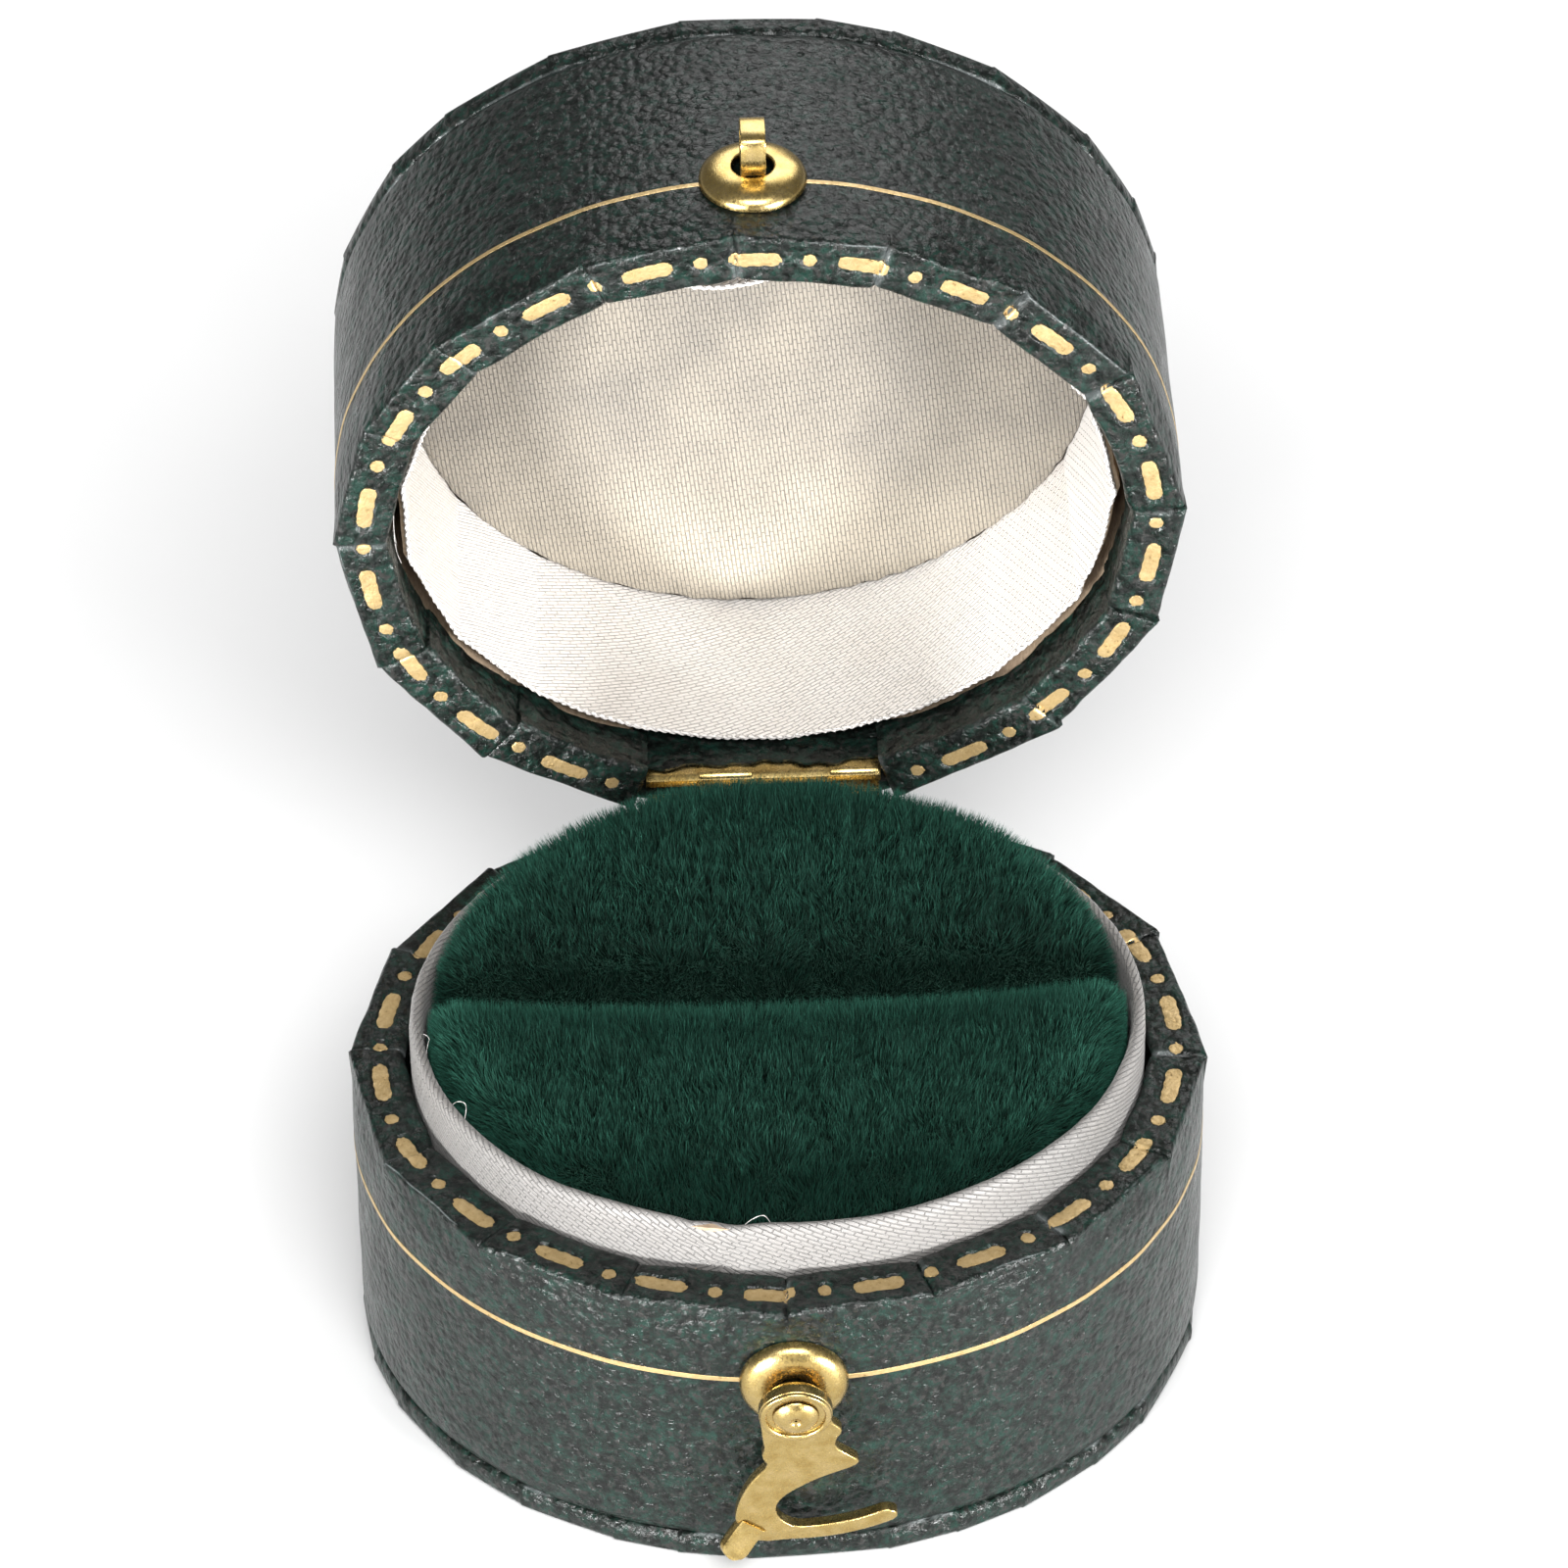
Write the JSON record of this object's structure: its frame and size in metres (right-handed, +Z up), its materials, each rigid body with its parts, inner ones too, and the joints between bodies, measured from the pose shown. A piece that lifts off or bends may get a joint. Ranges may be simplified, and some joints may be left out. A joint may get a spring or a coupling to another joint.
{
  "type": "ring box",
  "caption": "Oval hinged ring box covered in grained leatherette, with a slit plush pad, satin lining and a swinging brass hook latch, shown open.",
  "frame": {"origin": "centre of the flat underside of the base", "axes": "+Z up, +Y from the latch to the hinge, +X to the right as the latch is faced; the lid stands open at a right angle"},
  "size_m": [0.055, 0.0751, 0.0747],
  "materials": {
    "leatherette": "satin pebble grain",
    "board": "matt grey board",
    "foam": "soft open foam",
    "plush": "short dense pile",
    "satin_white": "satin ribbon",
    "satin_cream": "satin twill",
    "brass": "soft polished"
  },
  "bodies": {
    "base": {"base_wall": "board", "base_bottom_board": "board", "base_wall_cover": "leatherette", "base_bottom_cover": "leatherette", "neck_card_ring": "board", "neck_ribbon": "satin_white", "pad_card": "board", "pad_foam_front": "foam", "pad_foam_rear": "foam", "pad_velvet_front": "plush", "pad_velvet_rear": "plush", "latch_rosette": "brass", "latch_rivet": "brass", "latch_burr": "brass", "hinge_leaf_base": "brass", "hinge_pin": "brass"},
    "lid": {"lid_wall": "board", "lid_top_board": "board", "lid_wall_cover": "leatherette", "lid_top_cover": "leatherette", "lid_lining_card": "board", "lid_wadding": "foam", "lid_lining_satin": "satin_cream", "lid_ribbon_card": "board", "lid_ribbon": "satin_white", "catch_rosette": "brass", "catch_staple": "brass", "hinge_leaf_lid": "brass"},
    "hook": {"latch_hook": "brass"}
  },
  "joints": [
    {"name": "lid_hinge", "type": "hinge", "parent": "base", "child": "lid", "pos_m": [0, 0.023, 0.02265], "axis": [1, 0, 0], "range_deg": [0, 90]},
    {"name": "hook_swing", "type": "hinge", "parent": "base", "child": "hook", "pos_m": [0, -0.0244, 0.0164], "axis": [0, -0.9945, -0.1045], "range_deg": [-120, 174]}
  ]
}
